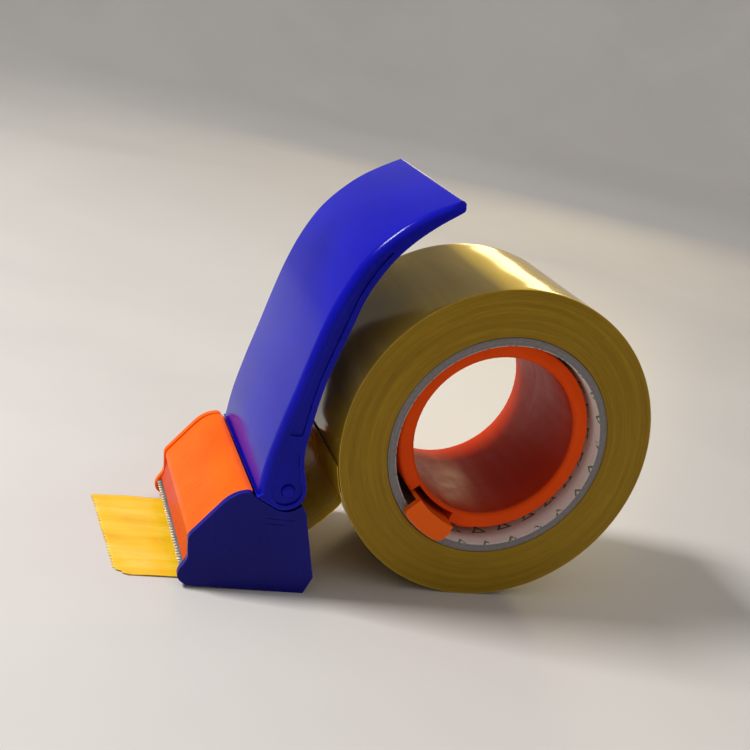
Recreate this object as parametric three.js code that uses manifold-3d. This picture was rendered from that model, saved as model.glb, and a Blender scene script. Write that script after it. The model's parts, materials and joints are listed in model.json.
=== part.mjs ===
// Hand-held packing tape dispenser with a roll of tape on it.
// Millimetres, +Z up. +X runs from the blade to the roll, +Y runs along the roll's axis to the
// side that carries the hub. The origin is under the middle of the object, on the table.
import * as THREE from 'three';
import { mergeVertices } from 'three/addons/utils/BufferGeometryUtils.js';
import Module from 'manifold-3d';

const wasm = await Module();
wasm.setup();

// ---------------------------------------------------------------- driving dimensions
const CORE_BORE_RADIUS = 38.1;          // a three inch paper core
const CORE_WALL = 3.0;
const ROLL_RADIUS = 58.5;
const TAPE_WIDTH = 60;
const BODY_WIDTH = 72;                  // over the outer faces of the two side plates
const SKIN = 2.5;                       // outer layer of a side plate
const WEB = 2.2;                        // inner layer of a side plate, and the arm
const WALL = 2.3;                       // wall of the cover and of the handle
const GAP = 0.3;                        // between pieces that touch
const TAIL_END = -131.5;                // torn end of the tape at its far edge, from the roll's axis
const TAIL_LEAN = 4.4;                  // how much shorter the tape is at its near edge
const STRIP_THICKNESS = 0.4;            // stands in for a film of 0.05

const HUB_OUTER_RADIUS = 35.5;
const HUB_NEAR_BORE_RADIUS = 30.2;
const HUB_FAR_BORE_RADIUS = 32.0;
const HUB_RECESS = 3.8;                 // from the roll's near face back to the hub's rim
const HUB_X = -0.8;                     // the core hangs on top of the hub, so their axes differ
const HUB_Z = ROLL_RADIUS + 2.15;

const PIN_X = -74.7;
const PIN_Z = 38.0;
const PIN_RADIUS = 2.3;
const EAR_RADIUS = 7.0;

const ROLLER_X = -87.0;
const ROLLER_Z = 7.2;
const ROLLER_RADIUS = 5.0;
const AXLE_RADIUS = 1.5;

const FRONT_WALL_X = -103.4;            // front face of the wall under the cover
const FRONT_WALL_BOTTOM = 8.0;
const BLADE_THICKNESS = 0.8;
const TOOTH_PITCH = 2.0;
const TOOTH_DEPTH = 1.3;
const BLADE_TIP = { x: -106.2, z: 6.0 };
const BLADE_BEND_Z = 8.2;
const BLADE_TOP_Z = 19.0;
const BLADE_SCREW_Z = 14.6;
const CLAMP_HALF_HEIGHT = 3.2;

const LATCH_ANGLE = 237;                // degrees from +X towards +Z, seen from the near side
const LATCH_HALF_ANGLE = 15;
const LATCH_ROOT_Y = -6.0;

const HALF_BODY = BODY_WIDTH / 2;
const HALF_TAPE = TAPE_WIDTH / 2;
const WEB_OUTER = HALF_BODY - SKIN;     // where a plate's two layers meet
const WEB_INNER = WEB_OUTER - WEB;
const SCREW_SHANK = 1.2;
const HEAD_RADIUS = 2.3;                // of a screw
const HALF_SLOT = 0.35;                 // half the width of a screw's slot
const EAR_CLEARANCE = 0.6;              // between the handle's ear and the plate round it
const LUG_RADIUS = 5.3;                 // of the plate's inner layer round the pin
const POST_RADIUS = 3.2;
const AXLE_BOSS_RADIUS = 4.2;
const COLLAR_RADIUS = 44;               // of the ring that the hub is bolted to
const RADIAN = Math.PI / 180;

// ---------------------------------------------------------------- materials
const finish = (color, roughness, metalness = 0) =>
  new THREE.MeshStandardMaterial({ color, roughness, metalness });
const BLUE = () => finish(0x1f1b96, 0.3);
const ORANGE = () => finish(0xf2551a, 0.4);
const STEEL = () => finish(0xb8babd, 0.3, 1);
const PAPER = () => finish(0xb9a99a, 0.9);
const TAPE = () => finish(0x9a7a22, 0.25);
const FILM = () => finish(0xe9c23c, 0.25);

// ---------------------------------------------------------------- geometry helpers
function signedVolume(position, index) {
  const a = new THREE.Vector3();
  const b = new THREE.Vector3();
  const c = new THREE.Vector3();
  let volume = 0;
  for (let i = 0; i < index.count; i += 3) {
    a.fromBufferAttribute(position, index.getX(i));
    b.fromBufferAttribute(position, index.getX(i + 1));
    c.fromBufferAttribute(position, index.getX(i + 2));
    volume += a.dot(b.cross(c)) / 6;
  }
  return volume;
}

// A closed geometry becomes a solid, with its faces turned outwards.
function solid(geometry) {
  const bare = new THREE.BufferGeometry();
  bare.setAttribute('position', geometry.getAttribute('position'));
  bare.setIndex(geometry.getIndex());
  const merged = mergeVertices(bare, 1e-4);
  const index = merged.getIndex();
  const triangles = new Uint32Array(index.array);
  if (signedVolume(merged.getAttribute('position'), index) < 0) {
    for (let i = 0; i < triangles.length; i += 3) {
      [triangles[i], triangles[i + 1]] = [triangles[i + 1], triangles[i]];
    }
  }
  return new wasm.Manifold(new wasm.Mesh({
    numProp: 3,
    vertProperties: new Float32Array(merged.getAttribute('position').array),
    triVerts: triangles,
  }));
}

function geometryOf(body) {
  const mesh = body.getMesh();
  const geometry = new THREE.BufferGeometry();
  const corners = new Float32Array(mesh.vertProperties);
  geometry.setAttribute('position', new THREE.BufferAttribute(corners, 3));
  geometry.setIndex(new THREE.BufferAttribute(new Uint32Array(mesh.triVerts), 1));
  geometry.computeVertexNormals();
  return geometry;
}

const joined = (...bodies) => bodies.reduce((sum, body) => sum.add(body));
const cut = (body, ...tools) => tools.reduce((left, tool) => left.subtract(tool), body);

// A side view outline (x, z) made into a slab from y = low to y = high.
function slab(shape, low, high, curveSegments = 12) {
  const depth = high - low;
  const geometry = new THREE.ExtrudeGeometry(shape, { depth, bevelEnabled: false, curveSegments });
  geometry.deleteAttribute('uv');
  geometry.deleteAttribute('normal');
  return solid(geometry.rotateX(Math.PI / 2).translate(0, high, 0));
}

// An outline in other directions: across and up are the outline's own axes, deep its thickness.
function plate(shape, origin, across, up, depth) {
  const geometry = new THREE.ExtrudeGeometry(shape, { depth, bevelEnabled: false, curveSegments: 10 });
  geometry.deleteAttribute('uv');
  geometry.deleteAttribute('normal');
  const deep = across.clone().cross(up);
  const place = new THREE.Matrix4().makeBasis(across, up, deep).setPosition(origin);
  return solid(geometry.applyMatrix4(place));
}

// A profile of [radius, y] points turned about an axis along Y that passes through (x, z).
function turned(profile, x, z, segments = 48) {
  const points = profile.map(([radius, y]) => new THREE.Vector2(radius, y));
  const geometry = new THREE.LatheGeometry(points, segments);
  geometry.deleteAttribute('uv');
  geometry.deleteAttribute('normal');
  return solid(geometry.translate(x, 0, z));
}

const rod = (radius, low, high, x, z, segments = 24) =>
  turned([[0, low], [radius, low], [radius, high], [0, high]], x, z, segments);
const ring = (inner, outer, low, high, x, z, segments = 72) =>
  turned([[inner, low], [outer, low], [outer, high], [inner, high], [inner, low]], x, z, segments);
const block = (low, high) => {
  const size = high.map((value, axis) => value - low[axis]);
  const geometry = new THREE.BoxGeometry(...size);
  geometry.translate(...low.map((value, axis) => value + size[axis] / 2));
  return solid(geometry);
};

const points2 = (pairs) => pairs.map(([a, b]) => new THREE.Vector2(a, b));
const onCircle = (x, z, radius, degrees) =>
  new THREE.Vector2(x + radius * Math.cos(degrees * RADIAN), z + radius * Math.sin(degrees * RADIAN));

// A sector of a ring, seen from the side, between two radii and two angles in degrees.
function sector(inner, outer, from, to, x, z) {
  const shape = new THREE.Shape();
  shape.absarc(x, z, outer, from * RADIAN, to * RADIAN, false);
  shape.absarc(x, z, inner, to * RADIAN, from * RADIAN, true);
  shape.closePath();
  return shape;
}

// A line of points moved sideways: a positive distance is to the left of its direction.
function offset(path, distance) {
  return path.map((point, i) => {
    const before = path[Math.max(i - 1, 0)];
    const after = path[Math.min(i + 1, path.length - 1)];
    const along = after.clone().sub(before).normalize();
    return new THREE.Vector2(point.x - along.y * distance, point.y + along.x * distance);
  });
}

// ---------------------------------------------------------------- side plates
// Outer layer of a side plate. Its top leaves room for the handle's ear.
function plateSkin() {
  const shape = new THREE.Shape();
  shape.moveTo(-62.3, 0);
  shape.lineTo(-59.8, 6.3);
  shape.lineTo(-67.1, 30.9);
  shape.absarc(PIN_X, PIN_Z, EAR_RADIUS + EAR_CLEARANCE, -40 * RADIAN, -126 * RADIAN, true);
  shape.lineTo(-85.9, 35.0);
  shape.quadraticCurveTo(-86.3, 36.7, -88.2, 36.6);
  shape.quadraticCurveTo(-92.6, 35.9, -95.8, 31.9);
  shape.lineTo(-104.6, 20.0);
  shape.quadraticCurveTo(-105.5, 18.8, -105.3, 17.6);
  shape.lineTo(-104.5, 12.0);
  shape.quadraticCurveTo(-104.4, 10.3, -105.2, 9.0);
  shape.lineTo(-106.2, 7.2);
  shape.quadraticCurveTo(-107.6, 4.4, -105.8, 2.4);
  shape.lineTo(-104.2, 1.2);
  shape.quadraticCurveTo(-103.6, 0.8, -102.5, 0.8);
  shape.closePath();
  return shape;
}

// Recessed layer behind the ear: a lug round the pin and the neck under it.
function plateLug() {
  const shape = new THREE.Shape();
  shape.moveTo(-67.6, 26);
  shape.lineTo(-69.7, 35.2);
  shape.absarc(PIN_X, PIN_Z, LUG_RADIUS, -25 * RADIAN, 205 * RADIAN, false);
  shape.lineTo(-81.6, 31);
  shape.lineTo(-81.6, 26);
  shape.closePath();
  return shape;
}

const POSTS = [{ x: -93.5, z: 22.2 }, { x: -78.4, z: 24.4 }];
const pinHole = () => rod(PIN_RADIUS + GAP, -HALF_BODY - 2, HALF_BODY + 2, PIN_X, PIN_Z);
const axleHole = () => rod(AXLE_RADIUS + 0.2, -WEB_OUTER, WEB_OUTER, ROLLER_X, ROLLER_Z);

// The near plate carries two posts that reach across to the far plate.
function nearSidePlate() {
  const skin = slab(plateSkin(), -HALF_BODY, -WEB_OUTER);
  const lug = slab(plateLug(), -WEB_OUTER - 0.2, -WEB_INNER);
  const axleBoss = rod(AXLE_BOSS_RADIUS, -WEB_OUTER - 0.2, -WEB_INNER, ROLLER_X, ROLLER_Z);
  const posts = POSTS.map(({ x, z }) => rod(POST_RADIUS, -WEB_OUTER - 0.2, WEB_INNER - GAP, x, z));
  const holes = POSTS.map(({ x, z }) => rod(SCREW_SHANK + GAP, 22, HALF_BODY, x, z));
  return cut(joined(skin, lug, axleBoss, ...posts), pinHole(), axleHole(), ...holes);
}

// The far plate, its arm and the ring that the hub is bolted to are one moulding.
function sideFrame() {
  const skin = slab(plateSkin(), WEB_OUTER, HALF_BODY);
  const lug = slab(plateLug(), WEB_INNER, WEB_OUTER + 0.2);
  const axleBoss = rod(AXLE_BOSS_RADIUS, WEB_INNER, WEB_OUTER + 0.2, ROLLER_X, ROLLER_Z);
  const arm = new THREE.Shape();
  arm.moveTo(-72, 7);
  arm.lineTo(-60, 7.5);
  arm.quadraticCurveTo(-43, 10, -24, 24);
  arm.lineTo(-10, 40);
  arm.lineTo(-30, 62);
  arm.lineTo(-42, 47);
  arm.quadraticCurveTo(-53, 34.5, -67.5, 29.8);
  arm.lineTo(-72, 28);
  arm.closePath();
  const armSlab = slab(arm, WEB_INNER, WEB_OUTER);
  const collar = rod(COLLAR_RADIUS, WEB_INNER, WEB_OUTER, HUB_X, HUB_Z, 72);
  const seats = POSTS.map(({ x, z }) => rod(POST_RADIUS + 1, WEB_INNER, WEB_OUTER + 0.2, x, z));
  const low = WEB_INNER - 2;
  const high = HALF_BODY + 2;
  const collarHole = rod(HUB_OUTER_RADIUS + GAP, low, high, HUB_X, HUB_Z, 72);
  const clearances = POSTS.map(({ x, z }) => rod(SCREW_SHANK + GAP, low, high, x, z));
  const counterbores = POSTS.map(({ x, z }) => rod(POST_RADIUS - 0.1, HALF_BODY - 1.3, high, x, z));
  const hubHoles = hubScrewPlaces().map(({ x, z }) => rod(SCREW_SHANK + 0.2, low, HALF_BODY, x, z));
  const whole = joined(skin, lug, axleBoss, armSlab, collar, ...seats);
  return cut(whole, collarHole, pinHole(), axleHole(), ...clearances, ...counterbores, ...hubHoles);
}

function bodyScrew({ x, z }) {
  const shank = [[0, 24], [SCREW_SHANK, 24], [SCREW_SHANK, HALF_BODY - 1]];
  const head = [[2.7, HALF_BODY - 1], [2.7, HALF_BODY - 0.3], [HEAD_RADIUS, HALF_BODY], [0, HALF_BODY]];
  const screw = turned([...shank, ...head], x, z, 24);
  const slot = block(
    [x - HEAD_RADIUS + 0.4, HALF_BODY - 0.6, z - HALF_SLOT],
    [x + HEAD_RADIUS - 0.4, HALF_BODY + 1, z + HALF_SLOT],
  );
  return cut(screw, slot);
}

// ---------------------------------------------------------------- cover, blade and its clamp
function topCover() {
  const crown = new THREE.SplineCurve(points2([
    [-86.0, 36.2], [-88.4, 36.4], [-92.2, 34.7], [-95.4, 31.6], [-99.8, 25.7], [-104.0, 20.0],
  ])).getPoints(20);
  const nose = new THREE.QuadraticBezierCurve(
    new THREE.Vector2(-104.0, 20.0),
    new THREE.Vector2(-105.2, 18.4),
    new THREE.Vector2(-104.7, 16.9),
  ).getPoints(5).slice(1);
  const wall = points2([
    [FRONT_WALL_X - 0.5, 16.0], [FRONT_WALL_X - 0.9, 10.5], [FRONT_WALL_X - 1.6, FRONT_WALL_BOTTOM],
  ]);
  const wallInside = points2([
    [FRONT_WALL_X + WALL, 16.0], [FRONT_WALL_X + WALL, FRONT_WALL_BOTTOM + 1.3],
  ]);
  const outer = [...crown, ...nose, ...wall];
  const inner = [...offset(crown, WALL), ...wallInside];
  const section = new THREE.Shape([...outer, ...inner.reverse()]);
  const shell = slab(section, -WEB_OUTER + GAP, WEB_OUTER - GAP);
  const screwHoles = bladeScrewPlaces().map((y) => screwBore(y, FRONT_WALL_X + 0.9, FRONT_WALL_X + 6));
  return cut(shell, ...screwHoles);
}

const LEG_FRONT = FRONT_WALL_X + WALL + GAP;
const LEG_BACK = LEG_FRONT + BLADE_THICKNESS;
const CLAMP_FRONT = LEG_BACK + GAP;
const CLAMP_BACK = CLAMP_FRONT + 3.0;
const bladeScrewPlaces = () => [-20, 20];

function rodAlongX(radius, low, high, y, z) {
  const geometry = new THREE.CylinderGeometry(radius, radius, high - low, 20);
  geometry.deleteAttribute('uv');
  geometry.deleteAttribute('normal');
  return solid(geometry.rotateZ(Math.PI / 2).translate((low + high) / 2, y, z));
}
const screwBore = (y, low, high) => rodAlongX(SCREW_SHANK + GAP, low, high, y, BLADE_SCREW_Z);

// Steel strip: an upright leg behind the front wall and a toothed lip that leans out under it.
function blade() {
  const halfLength = WEB_OUTER - GAP - 0.1;
  const bend = new THREE.Vector3(LEG_BACK, 0, BLADE_BEND_Z);
  const tip = new THREE.Vector3(BLADE_TIP.x, 0, BLADE_TIP.z);
  const lipLength = bend.distanceTo(tip);
  const along = tip.clone().sub(bend).normalize();
  const lip = new THREE.Shape();
  lip.moveTo(-halfLength, 0);
  lip.lineTo(halfLength, 0);
  lip.lineTo(halfLength, lipLength - TOOTH_DEPTH);
  const teeth = Math.floor((2 * halfLength) / TOOTH_PITCH);
  const margin = halfLength - (teeth * TOOTH_PITCH) / 2;
  for (let i = 0; i < teeth; i += 1) {
    const start = halfLength - margin - i * TOOTH_PITCH;
    lip.lineTo(start, lipLength - TOOTH_DEPTH);
    lip.lineTo(start - TOOTH_PITCH / 2, lipLength);
  }
  lip.lineTo(-halfLength + margin, lipLength - TOOTH_DEPTH);
  lip.lineTo(-halfLength, lipLength - TOOTH_DEPTH);
  lip.closePath();
  const lipBody = plate(lip, bend, new THREE.Vector3(0, 1, 0), along, BLADE_THICKNESS);
  const leg = block([LEG_FRONT, -halfLength, BLADE_BEND_Z - 0.2], [LEG_BACK, halfLength, BLADE_TOP_Z]);
  const holes = bladeScrewPlaces().map((y) => screwBore(y, LEG_FRONT - 2, LEG_BACK + 2));
  return cut(joined(lipBody, leg), ...holes);
}

function bladeClamp() {
  const end = WEB_OUTER - 2 * GAP;
  const low = BLADE_SCREW_Z - CLAMP_HALF_HEIGHT;
  const high = BLADE_SCREW_Z + CLAMP_HALF_HEIGHT;
  const bar = block([CLAMP_FRONT, -end, low], [CLAMP_BACK, end, high]);
  return cut(bar, ...bladeScrewPlaces().map((y) => screwBore(y, CLAMP_FRONT - 2, CLAMP_BACK + 2)));
}

function bladeScrew(y) {
  const shank = rodAlongX(SCREW_SHANK, FRONT_WALL_X + 1.3, CLAMP_BACK + 0.8, y, BLADE_SCREW_Z);
  const head = rodAlongX(HEAD_RADIUS, CLAMP_BACK + GAP, CLAMP_BACK + 1.6, y, BLADE_SCREW_Z);
  const slot = block(
    [CLAMP_BACK + 1.0, y - HEAD_RADIUS, BLADE_SCREW_Z - HALF_SLOT],
    [CLAMP_BACK + 3, y + HEAD_RADIUS, BLADE_SCREW_Z + HALF_SLOT],
  );
  return cut(joined(shank, head), slot);
}

// ---------------------------------------------------------------- guide roller
function guideRoller() {
  const half = HALF_TAPE - 0.2;
  const bore = AXLE_RADIUS + 0.2;
  const groove = ROLLER_RADIUS - 0.5;
  const profile = [[bore, -half], [ROLLER_RADIUS - 0.4, -half], [ROLLER_RADIUS, -half + 0.4]];
  for (let y = -18; y <= 18; y += 12) {
    profile.push([ROLLER_RADIUS, y - 1], [groove, y - 0.6], [groove, y + 0.6], [ROLLER_RADIUS, y + 1]);
  }
  profile.push([ROLLER_RADIUS, half - 0.4], [ROLLER_RADIUS - 0.4, half], [bore, half], [bore, -half]);
  return turned(profile, ROLLER_X, ROLLER_Z, 32);
}

const rollerAxle = () => rod(AXLE_RADIUS, -WEB_OUTER + GAP, WEB_OUTER - GAP, ROLLER_X, ROLLER_Z, 20);

// ---------------------------------------------------------------- hub and latch
function hubScrewPlaces() {
  return [70, 190, 310].map((degrees) => ({
    x: HUB_X + 39.6 * Math.cos(degrees * RADIAN),
    z: HUB_Z + 39.6 * Math.sin(degrees * RADIAN),
  }));
}

const HUB_NEAR_Y = -HALF_TAPE + HUB_RECESS;
const HUB_FLANGE_LOW = WEB_OUTER + GAP;
const HUB_FLANGE_HIGH = WEB_OUTER + 2.1;
const SLOT_RADIUS = 31.6;               // floor of the slot that the latch bends into

function hubDrum() {
  const profile = [
    [HUB_NEAR_BORE_RADIUS + 0.9, HUB_NEAR_Y], [HUB_OUTER_RADIUS - 0.6, HUB_NEAR_Y],
    [HUB_OUTER_RADIUS, HUB_NEAR_Y + 0.6], [HUB_OUTER_RADIUS, HUB_FLANGE_LOW],
    [43.2, HUB_FLANGE_LOW], [43.2, HUB_FLANGE_HIGH], [HUB_FAR_BORE_RADIUS, HUB_FLANGE_HIGH],
    [HUB_NEAR_BORE_RADIUS, HUB_NEAR_Y + 0.9], [HUB_NEAR_BORE_RADIUS + 0.9, HUB_NEAR_Y],
  ];
  const drum = turned(profile, HUB_X, HUB_Z, 72);
  const pads = [];
  for (let degrees = 262; degrees < 330; degrees += 15) {
    pads.push(slab(sector(34.5, 37.0, degrees, degrees + 10.5, HUB_X, HUB_Z), HUB_NEAR_Y + 3, 20, 4));
  }
  const from = LATCH_ANGLE - LATCH_HALF_ANGLE - 1.5;
  const to = LATCH_ANGLE + LATCH_HALF_ANGLE + 1.5;
  const slot = slab(sector(SLOT_RADIUS, 40, from, to, HUB_X, HUB_Z), HUB_NEAR_Y - 3, LATCH_ROOT_Y + 0.6, 6);
  const holes = hubScrewPlaces().map(({ x, z }) =>
    rod(SCREW_SHANK + GAP, WEB_OUTER - 1, HALF_BODY + 2, x, z));
  return cut(joined(drum, ...pads), slot, ...holes);
}

// A springy finger in the hub's wall, whose hook stops the roll from sliding off.
function coreLatch() {
  const from = LATCH_ANGLE - LATCH_HALF_ANGLE;
  const to = LATCH_ANGLE + LATCH_HALF_ANGLE;
  const finger = slab(sector(34.2, HUB_OUTER_RADIUS, from, to, HUB_X, HUB_Z), -33.4, LATCH_ROOT_Y, 6);
  const hook = slab(sector(34.2, 42.2, from + 2, to - 2, HUB_X, HUB_Z), -33.4, -30.8, 6);
  return joined(finger, hook);
}

function hubScrew({ x, z }) {
  const low = HUB_FLANGE_HIGH + GAP;
  const shank = rod(SCREW_SHANK, WEB_INNER + 0.3, low + 0.3, x, z, 16);
  const head = rod(HEAD_RADIUS, low, low + 0.9, x, z, 20);
  const slot = block(
    [x - HEAD_RADIUS, low + 0.5, z - HALF_SLOT],
    [x + HEAD_RADIUS, low + 2, z + HALF_SLOT],
  );
  return cut(joined(shank, head), slot);
}

// ---------------------------------------------------------------- roll of tape
const ROLL_Z = ROLL_RADIUS;
const CORE_RADIUS = CORE_BORE_RADIUS + CORE_WALL;
const tapeCore = () => ring(CORE_BORE_RADIUS, CORE_RADIUS, -HALF_TAPE, HALF_TAPE, 0, ROLL_Z, 96);
const tapeRoll = () => ring(CORE_RADIUS + 0.2, ROLL_RADIUS, -HALF_TAPE, HALF_TAPE, 0, ROLL_Z, 96);

// The free tape peels off the roll, passes under the guide roller and lies on the table.
function tapeStrip() {
  const centre = ROLL_RADIUS + GAP + STRIP_THICKNESS / 2;
  const path = [];
  for (let degrees = 192; degrees <= 205; degrees += 2.6) {
    path.push(onCircle(0, ROLL_Z, centre, degrees));
  }
  const wrap = ROLLER_RADIUS + GAP + STRIP_THICKNESS / 2;
  path.push(...points2([[-53.8, 32.2], [-54.6, 30.9], [-57.2, 27.6], [-61.4, 23.0]]));
  for (let degrees = 317; degrees >= 272; degrees -= 9) {
    path.push(onCircle(ROLLER_X, ROLLER_Z, wrap, degrees));
  }
  path.push(...points2([[-92, 1.3], [-97, 0.9], [-102, 0.6], [-107, 0.5], [TAIL_END - 2, 0.5]]));
  const left = offset(path, STRIP_THICKNESS / 2);
  const right = offset(path, -STRIP_THICKNESS / 2);
  const ribbon = slab(new THREE.Shape([...left, ...right.reverse()]), -HALF_TAPE, HALF_TAPE);
  const torn = new THREE.Shape();
  torn.moveTo(0, -HALF_TAPE - 1);
  torn.lineTo(TAIL_END + TAIL_LEAN + 4.2, -HALF_TAPE - 1);
  torn.lineTo(TAIL_END + TAIL_LEAN + 3.2, -HALF_TAPE + 1);
  for (let y = -HALF_TAPE + 4; y < HALF_TAPE; y += TOOTH_PITCH) {
    const edge = TAIL_END + TAIL_LEAN * (HALF_TAPE - TOOTH_PITCH - y) / TAPE_WIDTH;
    torn.lineTo(edge + 1.2, y);
    torn.lineTo(edge, y + TOOTH_PITCH / 2);
  }
  torn.lineTo(TAIL_END + 1.2, HALF_TAPE + 1);
  torn.lineTo(0, HALF_TAPE + 1);
  torn.closePath();
  const below = new THREE.Vector3(0, 0, -5);
  const kept = plate(torn, below, new THREE.Vector3(1, 0, 0), new THREE.Vector3(0, 1, 0), 80);
  return ribbon.intersect(kept);
}

// ---------------------------------------------------------------- handle
const HANDLE_FRONT = [
  [-84.9, 35.4], [-83.9, 47.6], [-81.5, 61.3], [-78.8, 73.9], [-76.2, 86.6], [-73.2, 99.3],
  [-69.2, 111.1], [-63.8, 121.6], [-56.4, 130.4], [-48.0, 137.4], [-36.1, 144.3],
];
const HANDLE_REAR = [
  [-68.9, 35.4], [-68.8, 39.8], [-71.7, 51.2], [-71.0, 65.7], [-69.6, 77.3], [-67.3, 87.6],
  [-64.8, 97.8], [-62.0, 108.6], [-57.0, 119.1], [-51.3, 127.0], [-43.8, 134.3], [-35.1, 140.9],
];
const HANDLE_TOP = 144.9;
const TIP_CORNER = 5;                   // how far the tip's two corners are rounded
const EAR_X = -75.3;
const EAR_Z = 38.3;

function handleShell() {
  const front = new THREE.SplineCurve(points2(HANDLE_FRONT)).getPoints(44);
  const rear = new THREE.SplineCurve(points2(HANDLE_REAR)).getPoints(44);
  const side = new THREE.Shape();
  side.moveTo(front[0].x, front[0].y);
  side.absarc(EAR_X, EAR_Z, EAR_RADIUS, 237 * RADIAN, 322 * RADIAN, false);
  rear.forEach((point) => side.lineTo(point.x, point.y));
  [...front].reverse().forEach((point) => side.lineTo(point.x, point.y));
  const flangeSpans = [[-HALF_BODY, -WEB_OUTER - GAP], [WEB_OUTER + GAP, HALF_BODY]];
  const flanges = flangeSpans.map(([low, high]) => slab(side, low, high));
  const inner = offset(front, -WALL);
  const wall = slab(new THREE.Shape([...front, ...[...inner].reverse()]), -HALF_BODY, HALF_BODY);
  const ribs = [9, 18, 27].map((step) => {
    const a = front[step];
    const b = inner[step];
    const reach = b.clone().sub(a).normalize().multiplyScalar(3.2).add(b);
    const along = front[step + 1].clone().sub(a).normalize().multiplyScalar(1.4);
    const start = a.clone().lerp(b, 0.5);
    const corners = [start, reach, reach.clone().add(along), start.clone().add(along)];
    return slab(new THREE.Shape(corners), -WEB_OUTER - 0.5, WEB_OUTER + 0.5);
  });
  const face = new THREE.Shape();
  face.moveTo(-HALF_BODY - 1, 20);
  face.lineTo(HALF_BODY + 1, 20);
  face.lineTo(HALF_BODY + 1, HANDLE_TOP - 9);
  face.lineTo(HALF_BODY, HANDLE_TOP - 7);
  face.quadraticCurveTo(HALF_BODY - 0.5, HANDLE_TOP - 2, HALF_BODY - TIP_CORNER, HANDLE_TOP);
  face.lineTo(-HALF_BODY + TIP_CORNER, HANDLE_TOP);
  face.quadraticCurveTo(-HALF_BODY + 0.5, HANDLE_TOP - 2, -HALF_BODY, HANDLE_TOP - 7);
  face.lineTo(-HALF_BODY - 1, HANDLE_TOP - 9);
  face.closePath();
  const foremost = new THREE.Vector3(-100, 0, 0);
  const rounded = plate(face, foremost, new THREE.Vector3(0, 1, 0), new THREE.Vector3(0, 0, 1), 90);
  return cut(joined(wall, ...flanges, ...ribs), pinHole()).intersect(rounded);
}

// A headed pin pushed out through the plate's lug and the handle's ear. Side is -1 near, +1 far.
function handlePin(side) {
  const headIn = WEB_INNER - GAP - 1.0;
  const headOut = WEB_INNER - GAP;
  const end = HALF_BODY + 0.7;
  const profile = [[0, headIn], [3.5, headIn], [3.5, headOut], [PIN_RADIUS, headOut],
    [PIN_RADIUS, end - 0.7], [PIN_RADIUS - 0.7, end], [0, end]];
  return turned(profile.map(([radius, y]) => [radius, side * y]), PIN_X, PIN_Z, 28);
}

// ---------------------------------------------------------------- assembly
const dispenser = new THREE.Group();
dispenser.position.x = -(TAIL_END + ROLL_RADIUS) / 2;

function add(name, body, material) {
  const mesh = new THREE.Mesh(geometryOf(body), material);
  mesh.name = name;
  dispenser.add(mesh);
}

add('side_frame', sideFrame(), ORANGE());
add('near_side_plate', nearSidePlate(), BLUE());
add('top_cover', topCover(), ORANGE());
add('blade', blade(), STEEL());
add('blade_clamp', bladeClamp(), ORANGE());
bladeScrewPlaces().forEach((y, i) => add(`blade_screw_${i + 1}`, bladeScrew(y), STEEL()));
POSTS.forEach((place, i) => add(`body_screw_${i + 1}`, bodyScrew(place), STEEL()));
add('guide_roller', guideRoller(), BLUE());
add('roller_axle', rollerAxle(), STEEL());
add('hub_drum', hubDrum(), ORANGE());
hubScrewPlaces().forEach((place, i) => add(`hub_screw_${i + 1}`, hubScrew(place), STEEL()));
add('core_latch', coreLatch(), ORANGE());
add('tape_core', tapeCore(), PAPER());
add('tape_roll', tapeRoll(), TAPE());
add('tape_strip', tapeStrip(), FILM());
add('handle_shell', handleShell(), BLUE());
add('handle_pin_near', handlePin(-1), BLUE());
add('handle_pin_far', handlePin(1), BLUE());

export default dispenser;
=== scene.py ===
"""Looks for a packing tape dispenser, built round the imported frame.
Lengths in the outlines are millimetres: x from the roll's axis, y from the middle, z from the table."""
import json
import math
import random

import bmesh
import bpy
from mathutils import Matrix, Vector


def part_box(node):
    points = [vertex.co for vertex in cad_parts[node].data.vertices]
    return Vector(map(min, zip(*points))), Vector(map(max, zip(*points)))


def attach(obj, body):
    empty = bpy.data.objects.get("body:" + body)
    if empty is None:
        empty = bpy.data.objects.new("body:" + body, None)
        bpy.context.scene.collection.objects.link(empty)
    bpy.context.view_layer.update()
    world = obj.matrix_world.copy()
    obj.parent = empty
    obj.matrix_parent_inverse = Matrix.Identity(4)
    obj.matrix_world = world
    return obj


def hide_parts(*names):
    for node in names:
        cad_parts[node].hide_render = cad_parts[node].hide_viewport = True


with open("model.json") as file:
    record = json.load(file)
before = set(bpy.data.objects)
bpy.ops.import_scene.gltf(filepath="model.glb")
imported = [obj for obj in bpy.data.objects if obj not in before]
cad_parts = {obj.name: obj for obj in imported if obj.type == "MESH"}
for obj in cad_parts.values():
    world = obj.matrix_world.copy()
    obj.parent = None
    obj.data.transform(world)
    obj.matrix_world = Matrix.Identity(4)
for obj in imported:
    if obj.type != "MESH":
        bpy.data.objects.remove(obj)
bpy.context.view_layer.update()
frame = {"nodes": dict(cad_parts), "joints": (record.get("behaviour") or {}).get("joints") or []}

MM = 0.001
JOINTS = {joint["name"]: Vector(joint["pos_m"]) for joint in frame["joints"]}
ROLL = JOINTS["roll_spin"]


def node_span(name, axis):
    """Lowest and highest value of a CAD node along an axis, in the outlines' millimetres."""
    low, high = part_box(name)
    shift = ROLL.x if axis == 0 else 0.0
    return (low[axis] - shift) / MM, (high[axis] - shift) / MM


def middle(name, axis):
    """Middle of a CAD node along an axis."""
    return sum(node_span(name, axis)) / 2


def joint_place(name):
    """The x and z of a joint in the outlines' millimetres."""
    spot = JOINTS[name]
    return (spot.x - ROLL.x) / MM, spot.z / MM


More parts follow.
